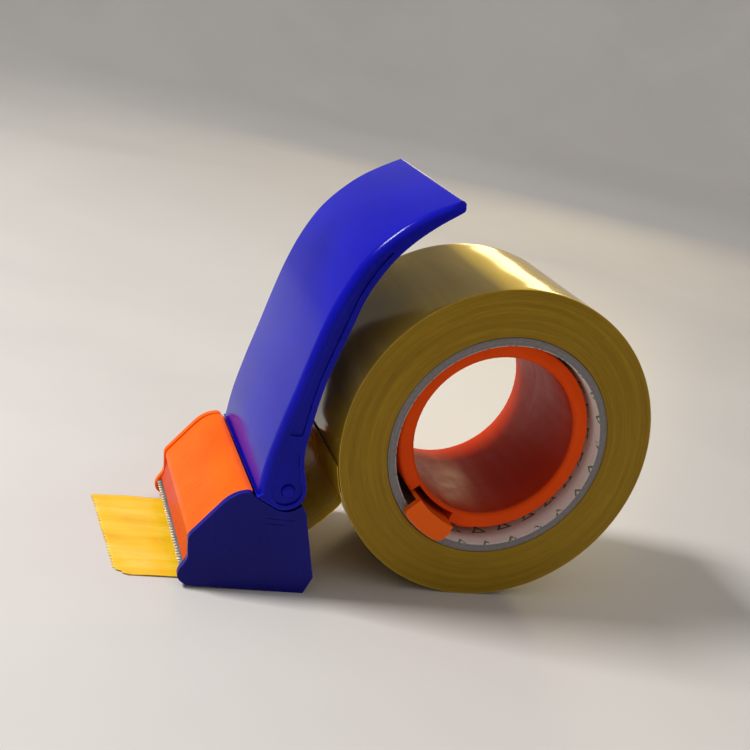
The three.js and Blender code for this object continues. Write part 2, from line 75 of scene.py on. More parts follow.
ROLL_Z = ROLL.z / MM
PIN_X, PIN_Z = joint_place("handle_pivot")
GUIDE_X, GUIDE_Z = joint_place("guide_roller_spin")
HUB_X, HUB_Z = middle("hub_drum", 0), middle("hub_drum", 2)
HUB_RIM_Y = node_span("hub_drum", 1)[0]
HALF_BODY = node_span("handle_shell", 1)[1]
HALF_TAPE = node_span("tape_roll", 1)[1]
ROLL_RADIUS = node_span("tape_roll", 0)[1]
CORE_RADIUS = node_span("tape_core", 0)[1]
HANDLE_TOP = node_span("handle_shell", 2)[1]
TAIL_END = node_span("tape_strip", 0)[0]
CORE_WALL = 3.0
CORE_BORE = CORE_RADIUS - CORE_WALL
SKIN = 2.5                # thickness of each side plate
WEB = 2.2                 # thickness of the lugs and bosses inside a side plate
SKIN_INNER = HALF_BODY - SKIN
WEB_INNER = SKIN_INNER - WEB
GAP = 0.3                 # play between parts that pass each other
BITE = 0.2                # how far a joined piece sinks into its neighbour
WALL = 2.3                # of the handle and the cover
EAR_RADIUS = 7.0
EAR_X = PIN_X - 0.6
EAR_Z = PIN_Z + 0.3
BLADE_SCREWS = [f"blade_screw_{k}" for k in (1, 2)]
BODY_SCREWS = [f"body_screw_{k}" for k in (1, 2)]
HUB_SCREWS = [f"hub_screw_{k}" for k in (1, 2, 3)]


def place(x, y, z):
    """A point of the outlines, in the frame's metres."""
    return Vector((ROLL.x + x * MM, y * MM, z * MM))


# ---------------------------------------------------------------- mesh helpers
def new_object(name, data):
    obj = bpy.data.objects.new(name, data)
    bpy.context.scene.collection.objects.link(obj)
    return obj


def smooth(obj):
    for polygon in obj.data.polygons:
        polygon.use_smooth = True


def from_bmesh(name, bm):
    bmesh.ops.recalc_face_normals(bm, faces=bm.faces)
    mesh = bpy.data.meshes.new(name)
    bm.to_mesh(mesh)
    bm.free()
    return new_object(name, mesh)


def loft(name, rows):
    """Closed sections, as equally long lists of points in the frame, joined into one solid."""
    bm = bmesh.new()
    made = [[bm.verts.new(point) for point in row] for row in rows]
    count = len(made[0])
    for a, b in zip(made, made[1:]):
        for i in range(count):
            j = (i + 1) % count
            bm.faces.new([a[i], a[j], b[j], b[i]])
    bm.faces.new(made[0])
    bm.faces.new(list(reversed(made[-1])))
    return from_bmesh(name, bm)


def crosswise(name, outline, low, high):
    """A front view outline (y, z) made solid from x = low to x = high."""
    return loft(name, [[place(x, y, z) for y, z in outline] for x in (low, high)])


def prism(name, outline, low, high, round_edge=None):
    """A side view outline (x, z) made solid from y = low to y = high.
    round_edge is (test, radius, segments): rim edges that pass the test are rounded."""
    bm = bmesh.new()
    ends = []
    for y in (low, high):
        ends.append([bm.verts.new(place(x, y, z)) for x, z in outline])
    bm.faces.new(ends[0])
    bm.faces.new(list(reversed(ends[1])))
    count = len(outline)
    for i in range(count):
        j = (i + 1) % count
        bm.faces.new([ends[0][i], ends[0][j], ends[1][j], ends[1][i]])
    bmesh.ops.recalc_face_normals(bm, faces=bm.faces)
    if round_edge:
        test, radius, segments = round_edge
        picked = []
        for row in ends:
            for i in range(count):
                j = (i + 1) % count
                if test(outline[i]) and test(outline[j]):
                    picked.append(bm.edges.get([row[i], row[j]]))
        bmesh.ops.bevel(bm, geom=picked, offset=radius * MM, segments=segments,
                        profile=0.5, affect="EDGES", clamp_overlap=True)
    return from_bmesh(name, bm)


def turned(name, profile, segments):
    """A closed profile of (radius, y) turned about the roll's axis."""
    bm = bmesh.new()
    rows = []
    for k in range(segments):
        angle = 2 * math.pi * k / segments
        cosine, sine = math.cos(angle), math.sin(angle)
        rows.append([bm.verts.new(place(r * cosine, y, ROLL_Z + r * sine)) for r, y in profile])
    count = len(profile)
    for k in range(segments):
        here, there = rows[k], rows[(k + 1) % segments]
        for i in range(count):
            j = (i + 1) % count
            bm.faces.new([here[i], here[j], there[j], there[i]])
    return from_bmesh(name, bm)


def combine(base, tool, operation, crossing=False):
    """Applies one boolean to base and removes the tool. Crossing is for a base that overlaps itself."""
    modifier = base.modifiers.new("combine", "BOOLEAN")
    modifier.operation = operation
    modifier.solver = "EXACT"
    modifier.object = tool
    modifier.use_self = crossing
    graph = bpy.context.evaluated_depsgraph_get()
    made = bpy.data.meshes.new_from_object(base.evaluated_get(graph))
    base.modifiers.clear()
    base.data = made
    bpy.data.objects.remove(tool)
    return base


def soften(obj, width, angle=32, segments=3, weld=False):
    """Small rounded edges on every edge sharper than the angle, with flat faces kept flat.
    weld is for CAD nodes: it joins their triangles back into whole faces first."""
    if weld:
        merge = obj.modifiers.new("weld", "WELD")
        merge.merge_threshold = 2e-6
        flat = obj.modifiers.new("dissolve", "DECIMATE")
        flat.decimate_type = "DISSOLVE"
        flat.angle_limit = math.radians(0.6)
    bevel = obj.modifiers.new("bevel", "BEVEL")
    bevel.width = width * MM
    bevel.segments = segments
    bevel.limit_method = "ANGLE"
    bevel.angle_limit = math.radians(angle)
    bevel.harden_normals = True
    bevel.use_clamp_overlap = True
    smooth(obj)


def spline(points, steps):
    """Uniform Catmull-Rom through the points, the curve that the CAD part uses."""
    result = []
    last = len(points) - 1
    for k in range(steps + 1):
        t = last * k / steps
        i = min(int(t), last - 1)
        w = t - i
        p0, p1 = points[max(i - 1, 0)], points[i]
        p2, p3 = points[i + 1], points[min(i + 2, last)]
        row = []
        for c in range(2):
            v0, v1 = (p2[c] - p0[c]) / 2, (p3[c] - p1[c]) / 2
            row.append((2 * p1[c] - 2 * p2[c] + v0 + v1) * w ** 3
                       + (-3 * p1[c] + 3 * p2[c] - 2 * v0 - v1) * w * w + v0 * w + p1[c])
        result.append(tuple(row))
    return result


def arc(x, z, radius, start, end, steps):
    angles = [math.radians(start + (end - start) * k / steps) for k in range(steps + 1)]
    return [(x + radius * math.cos(a), z + radius * math.sin(a)) for a in angles]


def disc_outline(x, z, radius, steps=32):
    return arc(x, z, radius, 0, 360 - 360 / steps, steps - 1)


def bend(a, b, c, steps=6):
    """Quadratic curve from a to c that bends toward b, without its first point."""
    out = []
    for k in range(1, steps + 1):
        t = k / steps
        out.append(tuple((1 - t) ** 2 * a[i] + 2 * t * (1 - t) * b[i] + t * t * c[i]
                         for i in range(2)))
    return out


def offset(path, distance):
    """An open path moved sideways, positive to the left of its direction."""
    out = []
    for i, (x, z) in enumerate(path):
        ax, az = path[max(i - 1, 0)]
        bx, bz = path[min(i + 1, len(path) - 1)]
        length = math.hypot(bx - ax, bz - az)
        out.append((x - (bz - az) / length * distance, z + (bx - ax) / length * distance))
    return out


def at_height(path, z):
    """The x of a rising path at a height."""
    for (ax, az), (bx, bz) in zip(path, path[1:]):
        if min(az, bz) <= z <= max(az, bz) and az != bz:
            return ax + (bx - ax) * (z - az) / (bz - az)
    return path[0][0] if z < path[0][1] else path[-1][0]


def rounded(points, radius, steps=4):
    """A closed outline with its corners rounded."""
    out = []
    count = len(points)
    for i in range(count):
        p, a, b = Vector(points[i]), Vector(points[i - 1]), Vector(points[(i + 1) % count])
        cut = min(radius, (a - p).length * 0.45, (b - p).length * 0.45)
        start = p + (a - p).normalized() * cut
        end = p + (b - p).normalized() * cut
        out.append(tuple(start))
        out.extend(bend(tuple(start), tuple(p), tuple(end), steps))
    return out


# ---------------------------------------------------------------- materials
class Shader:
    """A principled material that is wired with short calls."""

    def __init__(self, name):
        self.material = bpy.data.materials.new(name)
        self.material.use_nodes = True
        self.tree = self.material.node_tree
        self.surface = self.tree.nodes["Principled BSDF"]

    def add(self, kind, links=None, **settings):
        made = self.tree.nodes.new(kind)
        for key, value in settings.items():
            setattr(made, key, value)
        for key, value in (links or {}).items():
            self.set(made.inputs[key], value)
        return made

    def set(self, socket, value):
        if isinstance(value, bpy.types.NodeSocket):
            self.tree.links.new(value, socket)
        else:
            socket.default_value = value

    def base(self, **values):
        for key, value in values.items():
            self.set(self.surface.inputs[key.replace("_", " ")], value)

    def position(self, centre=(0, 0, 0), stretch=(1, 1, 1)):
        """Object coordinates measured from a centre in metres."""
        source = self.add("ShaderNodeTexCoord").outputs["Object"]
        back = tuple(-c * s for c, s in zip(centre, stretch))
        return self.add("ShaderNodeMapping", {
            "Vector": source, "Location": back, "Scale": stretch}).outputs[0]

    def noise(self, where, scale, detail=3.0, rough=0.5, twist=0.0):
        return self.add("ShaderNodeTexNoise", {
            "Vector": where, "Scale": scale, "Detail": detail,
            "Roughness": rough, "Distortion": twist}).outputs["Fac"]

    def math(self, operation, a, b=0.0, clamp=False):
        made = self.add("ShaderNodeMath", operation=operation, use_clamp=clamp)
        self.set(made.inputs[0], a)
        self.set(made.inputs[1], b)
        return made.outputs[0]

    def remap(self, value, low, high, to_low, to_high):
        return self.add("ShaderNodeMapRange", {
            "Value": value, "From Min": low, "From Max": high,
            "To Min": to_low, "To Max": to_high}).outputs[0]

    def ramp(self, factor, stops):
        made = self.add("ShaderNodeValToRGB", {"Fac": factor})
        elements = made.color_ramp.elements
        while len(elements) < len(stops):
            elements.new(0.5)
        for element, (at, color) in zip(elements, stops):
            element.position = at
            element.color = (*color, 1.0)
        return made.outputs["Color"]

    def mix(self, factor, a, b):
        made = self.add("ShaderNodeMix", data_type="RGBA")
        self.set(made.inputs["Factor"], factor)
        for socket, value in zip([s for s in made.inputs if s.type == "RGBA"], (a, b)):
            self.set(socket, (*value, 1.0) if isinstance(value, tuple) and len(value) == 3 else value)
        return [s for s in made.outputs if s.type == "RGBA"][0]

    def bump(self, height, strength, distance, before=None):
        links = {"Height": height, "Strength": strength, "Distance": distance}
        if before is not None:
            links["Normal"] = before
        return self.add("ShaderNodeBump", links).outputs["Normal"]

    def polar(self, centre):
        """Radius and angle about an axis along Y, and y itself, in metres and turns."""
        parts = self.add("ShaderNodeSeparateXYZ", {"Vector": self.position(centre)})
        x, y, z = parts.outputs
        square_x, square_z = self.math("MULTIPLY", x, x), self.math("MULTIPLY", z, z)
        radius = self.math("SQRT", self.math("ADD", square_x, square_z))
        angle = self.math("DIVIDE", self.math("ARCTAN2", z, x), 2 * math.pi)
        return radius, angle, y


RUB_AND_HIGHLIGHT_WIDTH = 0.0009        # metres either side of an edge that are painted pale: rubbing wear and a painted highlight
PLASTIC_IOR = 1.36
WALL_SHADE_FROM, WALL_SHADE_FULL = 17.2, 15.8      # heights between which the cover's front wall is painted a deeper red, as painted shade
BORE_RADIUS = 32.0        # of the hub
# the third of each set of tones is the pale colour of edges: rubbing wear and a painted highlight
ORANGE_TONES = ((0.88, 0.095, 0.003), (0.98, 0.145, 0.006), (1.0, 0.30, 0.08))
HUB_TONES = ((0.78, 0.060, 0.002), (0.92, 0.088, 0.004), (1.0, 0.22, 0.05))
BLUE_TONES = ((0.003, 0.003, 0.30), (0.005, 0.006, 0.42), (0.02, 0.04, 0.70))
# the near plate is the handle's blue plastic, painted darker as if in shade
PLATE_SHADED_TONES = ((0.005, 0.004, 0.15), (0.008, 0.007, 0.21), (0.02, 0.04, 0.72))


def moulded(name, tones, roughness, shine, grain=0.04, painted_shade=None):
    """Moulded plastic: slow colour drift, flow marks, fine grain, rubbed edges with a painted highlight,
    and smears.
    tones are its deep and bright colours, and the pale colour of its edges, which is rubbing wear and
    painted highlight.
    painted_shade is a function of the shader that gives a factor and the colour of painted shade it leads
    to."""
    deep, bright, worn_and_highlight_tone = tones
    s = Shader(name)
    where = s.position()
    drift = s.noise(where, 26, 3, 0.55, 0.4)
    color = s.mix(s.remap(drift, 0.3, 0.7, 0.0, 1.0), deep, bright)
    rounded_normal = s.add("ShaderNodeBevel", {"Radius": RUB_AND_HIGHLIGHT_WIDTH}, samples=4).outputs["Normal"]
    true_normal = s.add("ShaderNodeNewGeometry").outputs["Normal"]
    facing = s.add("ShaderNodeVectorMath", {0: rounded_normal, 1: true_normal},
                   operation="DOT_PRODUCT").outputs["Value"]
    # pale edges: partly rubbing wear, partly a painted highlight along the edges
    rubbed_and_highlit = s.math("MULTIPLY", s.remap(facing, 0.97, 0.80, 0.0, 0.5),
                    s.remap(s.noise(where, 240, 4, 0.6), 0.40, 0.62, 0.15, 1.0))
    color = s.mix(rubbed_and_highlit, color, worn_and_highlight_tone)
    # painted shade, where a function for it is given
    if painted_shade:
        factor, tone = painted_shade(s)
        color = s.mix(factor, color, tone)
    smear = s.noise(s.position(stretch=(1, 2.2, 0.7)), 60, 5, 0.62, 1.2)
    fine = s.noise(where, 1500, 2, 0.5)
    flow = s.noise(where, 90, 2, 0.5, 0.8)
    normal = s.bump(flow, 0.10, 0.0006)
    normal = s.bump(fine, grain, 0.0002, normal)
    scratch = s.noise(s.position(stretch=(14, 14, 1)), 120, 2, 0.7, 0.2)
    normal = s.bump(s.remap(scratch, 0.60, 0.66, 0.0, 1.0), 0.03, 0.0001, normal)
    s.base(Base_Color=color, Normal=normal,
           Roughness=s.remap(smear, 0.3, 0.75, roughness * 0.75, roughness * 1.35))
    s.surface.inputs["Specular IOR Level"].default_value = shine
    s.surface.inputs["IOR"].default_value = PLASTIC_IOR
    return s.material


def wall_painted_shade(s):
    """The cover's front wall is painted a deeper red than its crown: painted shade on the wall that faces
    down and away from the light.
    """
    z = s.add("ShaderNodeSeparateXYZ", {"Vector": s.position()}).outputs[2]
    # deeper red painted on the front wall as shade
    return s.remap(z, WALL_SHADE_FROM * MM, WALL_SHADE_FULL * MM, 0.0, 0.85), (0.56, 0.045, 0.010)


def bore_painted_shade(s):
    """The hub's bore is painted a darker red than its rim: painted shade inside the bore."""
    radius, _, y = s.polar(place(HUB_X, 0, HUB_Z))
    inside = s.remap(radius, (BORE_RADIUS + 0.4) * MM, (BORE_RADIUS - 0.4) * MM, 0.0, 1.0)
    behind = s.remap(y, (HUB_RIM_Y + 0.5) * MM, (HUB_RIM_Y + 2.5) * MM, 0.0, 0.8)
    # dark red painted in the bore as shade
    return s.math("MULTIPLY", inside, behind), (0.34, 0.014, 0.003)


COVER_ORANGE = moulded("cover_moulded", ORANGE_TONES, 0.34, 0.18, painted_shade=wall_painted_shade)
ORANGE = moulded("orange_moulded", ORANGE_TONES, 0.36, 0.18)
HUB_ORANGE = moulded("hub_moulded", HUB_TONES, 0.34, 0.10, painted_shade=bore_painted_shade)
BLUE = moulded("blue_moulded", BLUE_TONES, 0.16, 0.20)
# shaded copy of the blue: painted shade on the near plate
PLATE_SHADED_BLUE = moulded("plate_shaded_moulded", PLATE_SHADED_TONES, 0.26, 0.20, grain=0.08)


def steel(name, color, rough, lines=(1, 1, 1)):
    s = Shader(name)
    brushed = s.noise(s.position(stretch=lines), 700, 3, 0.6)
    spots = s.noise(s.position(), 180, 5, 0.65)
    tone = s.mix(s.remap(spots, 0.35, 0.7, 0.0, 0.35), color, tuple(c * 0.6 for c in color))
    s.base(Base_Color=tone, Roughness=s.remap(brushed, 0.3, 0.7, rough * 0.7, rough * 1.4),
           Normal=s.bump(brushed, 0.12, 0.0001))
    s.surface.inputs["Metallic"].default_value = 1.0
    return s.material


BLADE = steel("blade_steel_finish", (0.50, 0.50, 0.50), 0.22, (1, 0.12, 1))
SCREW = steel("screw_steel_finish", (0.52, 0.52, 0.54), 0.30)


def wound_tape():
    """Side face: many thin layers. Tread: clear glossy film over brown adhesive."""
    s = Shader("wound_tape_finish")
    radius = s.polar((ROLL.x, 0, ROLL.z))[0]
    spread = s.add("ShaderNodeSeparateXYZ", {"Vector": s.position(stretch=(0.03, 1, 0.03))}).outputs
    layers = s.add("ShaderNodeCombineXYZ", {"X": radius, "Y": spread[0], "Z": spread[2]}).outputs[0]
    fine = s.noise(layers, 5200, 3, 0.7)
    broad = s.noise(layers, 620, 3, 0.6)
    patch = s.noise(s.position(), 16, 3, 0.5)
    bands = s.math("ADD", s.math("MULTIPLY", fine, 0.45), s.math("MULTIPLY", broad, 0.55))
    side = s.ramp(bands, [(0.30, (0.215, 0.112, 0.004)), (0.50, (0.310, 0.178, 0.007)),
                          (0.72, (0.430, 0.265, 0.016))])
    side = s.mix(s.remap(patch, 0.3, 0.7, 0.1, 0.5), side, (0.33, 0.20, 0.010))
    tread_noise = s.noise(s.position(stretch=(1, 0.25, 1)), 40, 4, 0.55, 0.6)
    tread = s.ramp(tread_noise, [(0.25, (0.42, 0.265, 0.016)), (0.55, (0.64, 0.42, 0.028)),
                                 (0.8, (0.80, 0.57, 0.06))])
    cells = s.add("ShaderNodeTexVoronoi", {"Vector": s.position(stretch=(1, 0.6, 1)), "Scale": 330.0,
                                           "Randomness": 1.0}, feature="F1")
    sparse = s.remap(s.noise(s.position(), 34, 2, 0.5), 0.60, 0.66, 0.0, 1.0)
    bubble = s.math("MULTIPLY", s.remap(cells.outputs["Distance"], 0.10, 0.16, 1.0, 0.0), sparse, True)
    tread = s.mix(s.math("MULTIPLY", bubble, 0.7), tread, (0.95, 0.88, 0.55))
    is_tread = s.remap(radius, (ROLL_RADIUS - 0.35) * MM, (ROLL_RADIUS - 0.15) * MM, 0.0, 1.0)
    color = s.mix(is_tread, side, tread)
    ridge = s.bump(bands, 0.35, 0.0002)
    wave = s.noise(s.position(stretch=(1, 0.15, 1)), 55, 2, 0.4)
    glossy = s.bump(wave, 0.12, 0.0005)
    normal = s.add("ShaderNodeMix", data_type="VECTOR")
    s.set(normal.inputs["Factor"], is_tread)
    vectors = [q for q in normal.inputs if q.type == "VECTOR"]
    s.set(vectors[0], ridge)
    s.set(vectors[1], glossy)
    out = [q for q in normal.outputs if q.type == "VECTOR"][0]
    s.base(Base_Color=color, Roughness=s.remap(is_tread, 0.0, 1.0, 0.42, 0.09), Normal=out)
    s.set(s.surface.inputs["Specular IOR Level"], s.remap(is_tread, 0.0, 1.0, 0.15, 0.45))
    return s.material


MARKS_ROUND = 24.0        # triangles in one row round the bore, about 10 mm apart
MARK_PITCH = 0.011        # metres between rows
MARK_SIZE = 1.35          # millimetres from a triangle's middle to its sides
MARK_LINE = 0.42          # half of the line's width


def liner_marks(s, angle, y):
    """Rows of small outlined triangles round the bore, with broken ink."""
    turns = s.math("FRACT", s.math("MULTIPLY", angle, MARKS_ROUND))
    across = s.math("MULTIPLY", s.math("SUBTRACT", turns, 0.5), 10.0)
    row = s.math("ADD", s.math("DIVIDE", y, MARK_PITCH), 0.27)
    along = s.math("MULTIPLY", s.math("SUBTRACT", s.math("FRACT", row), 0.5), 11.0)
    slope = s.math("ADD", s.math("MULTIPLY", s.math("ABSOLUTE", across), 0.866),
                   s.math("MULTIPLY", along, 0.5))
    edge = s.math("SUBTRACT", s.math("MAXIMUM", slope, s.math("MULTIPLY", along, -1.0)), MARK_SIZE)
    line = s.math("LESS_THAN", s.math("ABSOLUTE", edge), MARK_LINE)
    ink = s.math("GREATER_THAN", s.noise(s.position(), 520, 2, 0.5), 0.42)
    return s.math("MULTIPLY", line, ink)


def core_paper():
    """Greyish wound board at the ends, and a pale liner with small green marks in the bore."""
    s = Shader("core_paper_finish")
    radius, angle, y = s.polar((ROLL.x, 0, ROLL.z))
    plies = s.noise(s.add("ShaderNodeCombineXYZ", {"X": radius}).outputs[0], 2600, 3, 0.6)
    fibre = s.noise(s.position(), 900, 4, 0.65)
    board = s.ramp(plies, [(0.3, (0.13, 0.115, 0.12)), (0.55, (0.21, 0.19, 0.195)),
                           (0.8, (0.33, 0.30, 0.30))])
    board = s.mix(s.remap(fibre, 0.4, 0.7, 0.0, 0.3), board, (0.42, 0.39, 0.38))
    liner = s.mix(s.remap(fibre, 0.35, 0.7, 0.0, 1.0), (0.74, 0.66, 0.61), (0.84, 0.78, 0.73))
    mark = liner_marks(s, angle, y)
    liner = s.mix(s.math("MULTIPLY", mark, 0.85), liner, (0.030, 0.12, 0.055))
    is_board = s.remap(radius, (CORE_BORE + 0.12) * MM, (CORE_BORE + 0.3) * MM, 0.0, 1.0)
    color = s.mix(is_board, liner, board)
    s.base(Base_Color=color, Roughness=s.remap(fibre, 0.3, 0.7, 0.7, 0.95),
           Normal=s.bump(s.math("ADD", plies, fibre), 0.3, 0.0002))
    return s.material


def tape_film():
    """One layer of yellow film with lengthwise streaks of thin and thick adhesive."""
    s = Shader("tape_film_finish")
    streak = s.noise(s.position(stretch=(0.10, 1.0, 0.10)), 150, 4, 0.6, 0.3)
    cloud = s.noise(s.position(), 45, 4, 0.55, 0.8)
    color = s.ramp(s.math("ADD", s.math("MULTIPLY", streak, 0.6), s.math("MULTIPLY", cloud, 0.4)),
                   [(0.32, (0.80, 0.42, 0.012)), (0.50, (0.93, 0.56, 0.020)), (0.66, (0.92, 0.66, 0.11))])
    s.base(Base_Color=color, Roughness=s.remap(streak, 0.3, 0.7, 0.16, 0.32),
           Normal=s.bump(streak, 0.15, 0.0003))
    s.surface.inputs["Coat Weight"].default_value = 0.3
    s.surface.inputs["Coat Roughness"].default_value = 0.08
    return s.material


WOUND = wound_tape()
PAPER = core_paper()
FILM = tape_film()


def dress(obj, material):
    obj.data.materials.clear()
    obj.data.materials.append(material)


def finish_piece(obj, body, replaced, material):
    dress(obj, material)
    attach(obj, body)
    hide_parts(*replaced)
    return obj


# ---------------------------------------------------------------- CAD nodes that stay
KEPT = {                  # finish and edge radius
    "side_frame": (ORANGE, 0.45),
    "blade": (BLADE, 0.06),
    "blade_clamp": (ORANGE, 0.3),
    "guide_roller": (BLUE, 0.15),
    "roller_axle": (SCREW, 0.15),
    "handle_pin_near": (BLUE, 0.25),
    "handle_pin_far": (BLUE, 0.25),
    **{screw: (SCREW, 0.12) for screw in BLADE_SCREWS + BODY_SCREWS + HUB_SCREWS},
    "hub_drum": (HUB_ORANGE, 0.5),
}
for name, (material, edge) in KEPT.items():
    kept = frame["nodes"][name]
    dress(kept, material)
    soften(kept, edge, angle=28, segments=2, weld=True)

# ---------------------------------------------------------------- handle
HANDLE_FRONT = [
    (-84.9, 35.4), (-83.9, 47.6), (-81.5, 61.3), (-78.8, 73.9), (-76.2, 86.6), (-73.2, 99.3),
    (-69.2, 111.1), (-63.8, 121.6), (-56.4, 130.4), (-48.0, 137.4), (-36.1, 144.3),
]
HANDLE_REAR = [
    (-68.9, 35.4), (-68.8, 39.8), (-71.7, 51.2), (-71.0, 65.7), (-69.6, 77.3), (-67.3, 87.6),
    (-64.8, 97.8), (-62.0, 108.6), (-57.0, 119.1), (-51.3, 127.0), (-43.8, 134.3), (-35.1, 140.9),
]
HANDLE_STEPS = 90         # rows of the handle's body
HOLLOW_STEPS = 84         # rows that the channel behind the front reaches
EDGE_ROUND = 3.0          # radius where the handle's front turns into its sides
EDGE_SHARE = 0.62         # the most of the handle's depth that this radius takes
TIP_TURN = 15             # degrees from row to row round the tip
TIP_FULLNESS = 0.86       # how far the round tip closes
TIP_CORNER = 4.5          # size of the tip's corners, seen from the front
RIB_ROWS = (18, 36, 54)
RIB_HEIGHT = 3.2          # from the front wall's inside
RIB_THICKNESS = 1.4
PANEL_DEPTH = 0.9
PANEL_BORDER = 3.6        # from the handle's front
PANEL_REAR = 2.0          # from its rear
PIN_HOLE = 2.45
BEYOND = 2                # how far cutting tools stand out past the handle


def tip_rows(front, sections):
    """The last sections cut back by half the tip's thickness, then closed with a half circle."""
    (fx, fz), (rx, rz), inward = sections[-1]
    half_tip = math.hypot(rx - fx, rz - fz) / 2
    tangent = (-inward[1], inward[0])
    cut = 0
    while math.hypot(front[-1 - cut][0] - fx, front[-1 - cut][1] - fz) < half_tip:
        cut += 1
    sections = sections[:-cut]
    (fx, fz), (rx, rz), inward = sections[-1]
    for degrees in range(TIP_TURN, 91, TIP_TURN):
        turn = math.radians(degrees)
        along, drop = half_tip * math.sin(turn), half_tip * (1 - math.cos(turn)) * TIP_FULLNESS
        ahead = (tangent[0] * along, tangent[1] * along)
        closed = (inward[0] * drop, inward[1] * drop)
        sections.append([(fx + ahead[0] + closed[0], fz + ahead[1] + closed[1]),
                         (rx + ahead[0] - closed[0], rz + ahead[1] - closed[1]), inward])
    return sections


def handle_row(section):
    """One section across the handle, with rounded edges toward its front."""
    (fx, fz), (rx, rz), (nx, nz) = section
    radius = min(EDGE_ROUND, math.hypot(rx - fx, rz - fz) * EDGE_SHARE)
    corner = []
    for degrees in range(0, 91, 10):
        turn = math.radians(degrees)
        corner.append((radius * (1 - math.sin(turn)), radius * (1 - math.cos(turn))))
    row = [place(rx, -HALF_BODY, rz)]
    for inset, side in corner:
        row.append(place(fx + nx * inset, -HALF_BODY + side, fz + nz * inset))
    for inset, side in reversed(corner):
        row.append(place(fx + nx * inset, HALF_BODY - side, fz + nz * inset))
    row.append(place(rx, HALF_BODY, rz))
    return row


def handle_body(front, rear):
    """The solid outer shape, with its round ear at the lower end."""
    sections = []
    for i, (fx, fz) in enumerate(front):
        ax, az = front[max(i - 1, 0)]
        bx, bz = front[min(i + 1, HANDLE_STEPS)]
        length = math.hypot(bx - ax, bz - az)
        sections.append([(fx, fz), rear[i], ((bz - az) / length, -(bx - ax) / length)])
    body = loft("handle_body", [handle_row(section) for section in tip_rows(front, sections)])
    ear = [(front[0][0], front[0][1] - 0.2), *arc(EAR_X, EAR_Z, EAR_RADIUS + 0.15, 237, 322, 24),
           rear[0], rear[4], (front[2][0] + 3, front[2][1])]
    return combine(body, prism("handle_ear", ear, -HALF_BODY, HALF_BODY), "UNION", True)


def handle_hollow(inner, rear):
    """The channel behind the front wall, open to the rear and below."""
    (x0, z0), (x1, z1) = inner[0], inner[1]
    low_end = (x0 + (x0 - x1) * 12, z0 - 12)
    rear_end = (rear[HOLLOW_STEPS][0] + 3, rear[HOLLOW_STEPS][1] - 6)
    channel = [low_end, *inner, rear_end, (rear[70][0] + 10, rear[70][1] - 10), (-40, 20), (low_end[0], 20)]
    front_wall = set(inner)
    half = SKIN_INNER + GAP
    return prism("handle_hollow", channel, -half, half, (lambda point: point in front_wall, 0.5, 3))


def handle_rib(front, inner, row):
    """One cross rib that stands on the inside of the front wall."""
    a, b = front[row], inner[row]
    nx, nz = (b[0] - a[0]) / WALL, (b[1] - a[1]) / WALL
    ax, az = front[row + 2][0] - a[0], front[row + 2][1] - a[1]
    size = math.hypot(ax, az)
    ax, az = ax / size * RIB_THICKNESS, az / size * RIB_THICKNESS
    mid = (a[0] + nx * WALL / 2, a[1] + nz * WALL / 2)
    far = (b[0] + nx * RIB_HEIGHT, b[1] + nz * RIB_HEIGHT)
    outline = [mid, far, (far[0] + ax, far[1] + az), (mid[0] + ax, mid[1] + az)]
    return prism("handle_rib", outline, -SKIN_INNER - 0.6, SKIN_INNER + 0.6)


def handle_panels(front, rear):
    """Outlines of the two sunk panels on each side: along the arm, and round the ear."""
    border_front = offset(front, -PANEL_BORDER)
    border_rear = offset(rear, PANEL_REAR)
    heights = range(58, 130, 3)
    pairs = [((at_height(border_front, z), z), (at_height(border_rear, z), z)) for z in heights]
    pairs = [(a, b) for a, b in pairs if b[0] - a[0] > 1.0]
    upper = rounded([a for a, b in pairs] + [b for a, b in reversed(pairs)], 1.2, 2)
    lower_front = [(at_height(border_front, z), z) for z in (52, 48, 44, 40)] + [(-80.9, 37.0)]
    lower_rear = [(at_height(border_rear, z) + 0.4, z) for z in (43, 47, 52)]
    ring = arc(EAR_X, EAR_Z, EAR_RADIUS - 1.4, 238, 355, 14)
    return upper, rounded([*lower_front, *ring, *lower_rear], 0.8, 2)


def handle_limits():
    """The handle's outline seen from the front, with the tip's rounded corners."""
    half, top = HALF_BODY, HANDLE_TOP + 0.6
    low, shoulder = top - 9, top - 7
    face = [(-half - BEYOND, 20), (half + BEYOND, 20), (half + BEYOND, low), (half, shoulder)]
    face += bend((half, shoulder), (half - 0.3, top - 1), (half - TIP_CORNER, top), 12)
    face += [(-half + TIP_CORNER, top)]
    face += bend((-half + TIP_CORNER, top), (-half + 0.3, top - 1), (-half, shoulder), 12)
    face += [(-half - BEYOND, low)]
    return crosswise("handle_limits", face, -110, 0)


def handle():
    front = spline(HANDLE_FRONT, HANDLE_STEPS)
    rear = spline(HANDLE_REAR, HANDLE_STEPS)
    inner = offset(front, -WALL)[:HOLLOW_STEPS]
    body = handle_body(front, rear)
    combine(body, handle_hollow(inner, rear), "DIFFERENCE")
    for row in RIB_ROWS:
        combine(body, handle_rib(front, inner, row), "UNION")
    panels = handle_panels(front, rear)
    for side in (-1, 1):
        y = sorted((side * (HALF_BODY - PANEL_DEPTH), side * (HALF_BODY + BEYOND)))
        for outline in panels:
            combine(body, prism("handle_panel", outline, *y), "DIFFERENCE")
    hole = disc_outline(PIN_X, PIN_Z, PIN_HOLE, 40)
    combine(body, prism("handle_hole", hole, -50, 50), "DIFFERENCE")
    combine(body, handle_limits(), "INTERSECT")
    body.name = "handle_moulding"
    soften(body, 0.3)
    return finish_piece(body, "handle", ["handle_shell"], BLUE)


handle()


